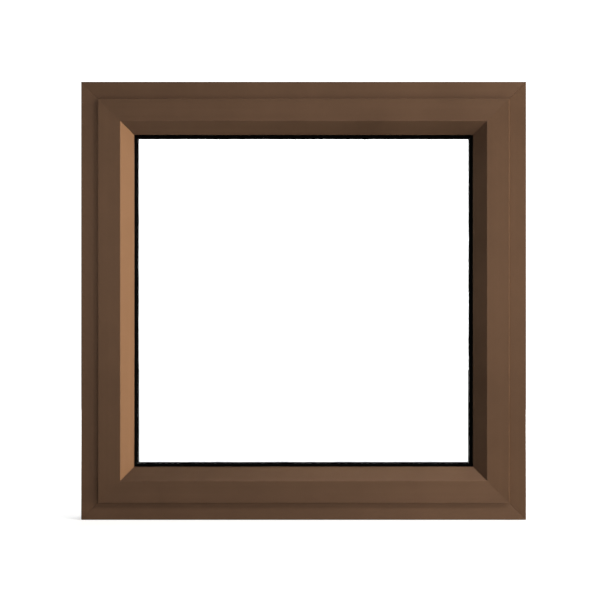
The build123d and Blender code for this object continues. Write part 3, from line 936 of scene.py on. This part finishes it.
def packer_plastic(name):
    """Moulded setting blocks: mid blue, with a fine spark-eroded grain and ribs across them."""
    blues = (0.03, 0.09, 0.24), (0.045, 0.12, 0.29)
    material, shader, grain = grained(name, (1500.0, 3.0), blues, (0.42, 0.58), Specular_IOR_Level=0.4)
    half_pitch = 2.0 * MM
    ribs = maths("PINGPONG", along_axis(own_place(shader.id_data), "X"), half_pitch)
    bumped(shader, (ranged(ribs, 0.0, half_pitch), 0.0004, 0.6), (grain, 0.00005, 0.5))
    return material


def plated_steel(name):
    """Screw heads: darkened zinc with a turned sheen."""
    browns = (0.055, 0.042, 0.034), (0.10, 0.078, 0.064)
    material, shader, grain = grained(name, (900.0, 4.0), browns, (0.32, 0.48), Metallic=1.0)
    bumped(shader, (grain, 0.00003, 0.5))
    return material


COAT_COLOUR = (0.205, 0.116, 0.069)
WORN_COLOUR = (0.26, 0.150, 0.092)
HANDLE_COLOUR = (0.060, 0.036, 0.024)
HANDLE_WORN = (0.13, 0.085, 0.06)
coat = coated_metal("brown_satin_coat", COAT_COLOUR, WORN_COLOUR, metallic=0.7, rough=0.42, dust=0.06)
handle_coat = coated_metal(
    "handle_brown_coat", HANDLE_COLOUR, HANDLE_WORN, metallic=0.35, rough=0.38, dust=0.12)
gasket_rubber = black_rubber("gasket_rubber", (0.0012, 0.0011, 0.001), rough=0.75, sheen=0.02, dust=0.0)
seal_rubber = black_rubber("seal_rubber", (0.010, 0.010, 0.010), rough=0.68, sheen=0.2, dust=0.10)
polyamide = filled_polyamide("black_polyamide")
glass = clear_glass("float_glass")
spacer_finish = spacer_metal("spacer_aluminium")
sealant = set_sealant("edge_sealant")
packer = packer_plastic("packer_plastic")
screw_finish = plated_steel("screw_steel")


# Pieces


def drill_jamb(piece, side):
    """Cuts a jamb's screw holes and access holes with round cutters, and keeps only the cut mesh."""
    corner, along, inwards, length = (np.array(v, float) for v in SIDES[side])
    depth = (inner_tube_front + frame_back) / 2
    angle = np.linspace(0, 2 * np.pi, 40, endpoint=False)[:, None]
    across = np.array([0, 1, 0])
    flip = np.dot(np.cross(across, along), inwards) < 0
    cutter = Mesh()
    for run in (FIXING_INSET, float(length) - FIXING_INSET):
        for middle, radius in ((0.0, FIXING_RADIUS), (frame_tube, ACCESS_RADIUS)):
            u = middle + np.array([-1.0, 1.0])[:, None] * 2 * WALL * np.ones(len(angle))
            centre = corner + run * along + depth * across
            circle = radius * (np.cos(angle) * across + np.sin(angle) * along)
            add_tube(cutter, centre + u[..., None] * inwards + circle, 0.0, flip=flip)
    mesh = bpy.data.meshes.new("hole_cutter")
    faces = [row for face in cutter.faces for row in face.tolist()]
    mesh.from_pydata(np.concatenate(cutter.points).tolist(), [], faces)
    tool = linked("hole_cutter", mesh)
    cut = piece.modifiers.new("holes", "BOOLEAN")
    cut.operation, cut.object, cut.solver = "DIFFERENCE", tool, "EXACT"
    bpy.context.view_layer.update()
    made = bpy.data.meshes.new_from_object(piece.evaluated_get(bpy.context.evaluated_depsgraph_get()))
    piece.modifiers.clear()
    made.name = piece.name
    made.set_sharp_from_angle(angle=SHARP_ANGLE)
    piece.data = made
    bpy.data.objects.remove(tool)


def piece(name, material, slot, node, shape, *what, **how):
    """A finished piece in a node's place, from one of the functions that shape a mesh."""
    mesh = Mesh()
    shape(mesh, *what, **how)
    return mesh.build(name, material, [node])


for whole, names, outer, inner, strips, burr in (
    ("frame", FRAME_NAMES, frame_outer_lines(), frame_inner_lines(), strip_lines(frame_strips), FRAME_BURR),
    ("sash", SASH_NAMES, sash_outer_lines(), sash_inner_lines(), strip_lines(sash_strips), SASH_BURR),
):
    for side, member in names.items():
        bar = f"{whole}_{member}"
        cut = side, burr
        piece(f"{bar}_coated_face", coat, "brown_coat", f"{bar}_outer", mitred_bar, outer, *cut)
        back = piece(f"{bar}_coated_back", coat, "brown_coat", f"{bar}_inner", mitred_bar, inner, *cut)
        if whole == "frame" and side in ("left", "right"):
            drill_jamb(back, side)
        piece(f"{bar}_strips", polyamide, "polyamide", f"{bar}_thermal_break", mitred_bar, strips, *cut)
        if whole == "sash":
            bead = f"glazing_bead_{side}"
            piece(f"snap_bead_{side}", coat, "brown_coat", bead, mitred_bar, bead_lines(), *cut)

loose_lip = {"samples": 80, "wander": 0.09 * MM}
piece("outside_gasket", gasket_rubber, "rubber", "outer_glazing_gasket",
      carried_ring, outer_gasket_lines(), wander_from=nose_tip, **loose_lip)
piece("wedge_gasket", gasket_rubber, "rubber", "inner_glazing_gasket",
      carried_ring, inner_gasket_lines(), wander_from=bead_top, **loose_lip)
lap_foot, nib_foot = sash_edge + WALL + FIT, nib_tip - LIP - SEAL_FOOT + FIT
piece("lap_seal", seal_rubber, "rubber", "outer_weather_seal",
      carried_ring, seal_lines(lap_foot, sash_front + WALL + FIT, -LAP_GAP, 0.0))
piece("nib_seal", seal_rubber, "rubber", "inner_weather_seal",
      carried_ring, seal_lines(nib_foot, frame_back - WALL - FIT, nib_front, shoulder_back))
piece("perforated_spacer", spacer_finish, "spacer", "spacer_bar", carried_ring, spacer_lines())

for name, node, front, back in (
    ("outside_glass", "outer_pane", glass_front, cavity_front),
    ("room_glass", "inner_pane", cavity_back, glass_back),
):
    mesh = Mesh()
    glass_pane(mesh, front, back)
    mesh.build(name, glass, [node], sharp=SHARP_ANGLE / 2)

seat_low, seat_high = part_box("handle_base")
seat = ((seat_low[0] + seat_high[0]) / 2, seat_low[1], (seat_low[2] + seat_high[2]) / 2)
plate_top = seat_high[1] - seat_low[1]
piece("handle_backplate", handle_coat, "handle_coat", "handle_base", handle_backplate, seat)
mesh = Mesh()
handle_grip(mesh, seat)
collar = np.array([(8.2, -0.4), (8.5, 0.2), (8.5, 2.2), (8.3, 2.7), (7.8, 3.0), (5.0, 3.0)]) * MM
turned(mesh, (seat[0], seat[1] + plate_top, seat[2]), collar)
mesh.build("handle_lever_grip", handle_coat, ["handle_lever"])
mesh = Mesh()
for shift, turn in ((-SCREW_SPREAD, 0.35), (SCREW_SPREAD, 1.05)):
    screw_head(mesh, (seat[0] + shift, seat[1] + plate_top - 0.1 * MM, seat[2]), SCREW_RADIUS, turn)
mesh.build("handle_screws", screw_finish)

for node, material in (("edge_seal", sealant), ("setting_blocks", packer)):
    nodes[node].data.materials.clear()
    nodes[node].data.materials.append(material)


# Floor, light and camera


def straight_sight(tree):
    """1 for what the camera sees directly or through glass, 0 for light on its way between surfaces."""
    path = put(tree, "LightPath").outputs
    seen = maths("MAXIMUM", path["Is Camera Ray"], path["Is Transmission Ray"])
    bounces = maths("ADD", path["Diffuse Depth"], path["Glossy Depth"])
    return times(seen, maths("LESS_THAN", bounces, 0.5))


def studio_floor():
    """A plain pale floor: a square sheet just under the sill. Seen straight on or through the glass it
    glows with painted light. The glow is dimmer near the window, so shadows there stay, and brighter far
    off, so the far floor reads white.
    """
    reach, level = 6.0, -0.0004
    mesh = bpy.data.meshes.new("studio_floor")
    corners = [(x * reach, y * reach, level) for x, y in ((-1, -1), (1, -1), (1, 1), (-1, 1))]
    mesh.from_pydata(corners, [], [(0, 1, 2, 3)])
    material, tree, shader = shaded("pale_floor", Roughness=0.85, Specular_IOR_Level=0.2)
    fleck = object_noise(tree, 40.0, 4.0)
    feed(shader, Base_Color=tint(fleck, (0.86, 0.86, 0.86), (0.9, 0.9, 0.9)))
    away = put(tree, "VectorMath", {0: own_place(tree)}, operation="LENGTH").outputs["Value"]
    # Painted light: the floor's glow rises from dim near the window to bright far from it.
    near, far, dim, bright = 0.35, 1.6, 0.64, 1.25
    fade = ranged(away, near, far, dim, bright)
    painted_floor_glow = put(tree, "Emission", {"Strength": times(straight_sight(tree), fade)})
    both = put(tree, "AddShader", {0: shader.outputs[0], 1: painted_floor_glow.outputs[0]})
    feed(tree.nodes["Material Output"], Surface=both.outputs[0])
    mesh.materials.append(material)
    floor = linked("studio_floor", mesh)
    floor.visible_glossy = floor.visible_transmission = floor.visible_shadow = False


def soft_box(name, place, aim, size, power, colour):
    """A rectangular soft light that faces a point and stays out of the picture."""
    light = bpy.data.lights.new(name, "AREA")
    light.shape, light.size, light.size_y = "RECTANGLE", *size
    light.energy, light.color = power, colour
    lamp = linked(name, light)
    way = np.array(aim, float) - np.array(place, float)
    lamp.location = place
    flat = math.hypot(way[0], way[1])
    lamp.rotation_euler = (math.atan2(flat, -way[2]), 0.0, math.atan2(-way[0], way[1]))
    lamp.visible_camera = False


def studio_world(seen):
    """A white surround for the eye and through the glass, which lights nothing."""
    world = bpy.data.worlds.new("studio_surround")
    world.use_nodes = True
    tree = world.node_tree
    surround = tree.nodes["Background"]
    feed(surround, Strength=ranged(straight_sight(tree), 0.0, 1.0, 0.0, seen))
    surround.inputs["Color"].default_value = (1, 1, 1, 1)
    bpy.context.scene.world = world


middle = (0.0, 0.0, HEIGHT / 2)
studio_floor()
studio_world(1.3)
WHITE = (1.0, 1.0, 1.0)

# Each light: its place, its size, its power and its colour
LIGHTS = {
    "key_box": ((1.5, -1.7, 2.0), (0.35, 0.35), 33.0, WHITE),
    "side_panel": ((2.4, -0.69, 0.5), (1.4, 2.8), 52.0, (1.0, 0.87, 0.66)),
    "top_box": ((0.15, -1.8, 2.465), (0.8, 0.5), 6.2, WHITE),
    "table_glow": ((-0.6, -0.9, -1.3), (0.8, 0.8), 1.6, WHITE),
    "low_box": ((0.59, -1.63, -0.68), (0.6, 0.6), 2.5, WHITE),
    "front_box": ((0.0, -2.9, 0.32), (1.0, 1.0), 3.5, WHITE),
    "right_box": ((0.7, -2.0, 0.4), (0.5, 0.5), 1.1, WHITE),
    "left_box": ((-0.7, -1.6, 0.6), (0.5, 0.5), 0.6, WHITE),
    "end_box": ((-2.4, 0.27, 0.8), (0.42, 0.9), 5.0, WHITE),
    "room_key": ((1.5, 2.2, 1.4), (0.8, 0.8), 38.0, WHITE),
    "room_box": ((0.2, 2.9, 0.9), (1.6, 1.6), 34.0, WHITE),
}
for name, (place, size, power, colour) in LIGHTS.items():
    soft_box(name, place, middle, size, power, colour)

# The photograph's view, square on from outside
lens = bpy.data.cameras.new("photo_camera")
lens.sensor_width = 36.0
lens.lens = 123.2
eye = linked("photo_camera", lens)
eye.location = (-0.0053, -3.0, 0.3212)
eye.rotation_euler = (math.pi / 2, 0, 0)
bpy.context.scene.camera = eye
bpy.context.scene.view_settings.view_transform = "Standard"
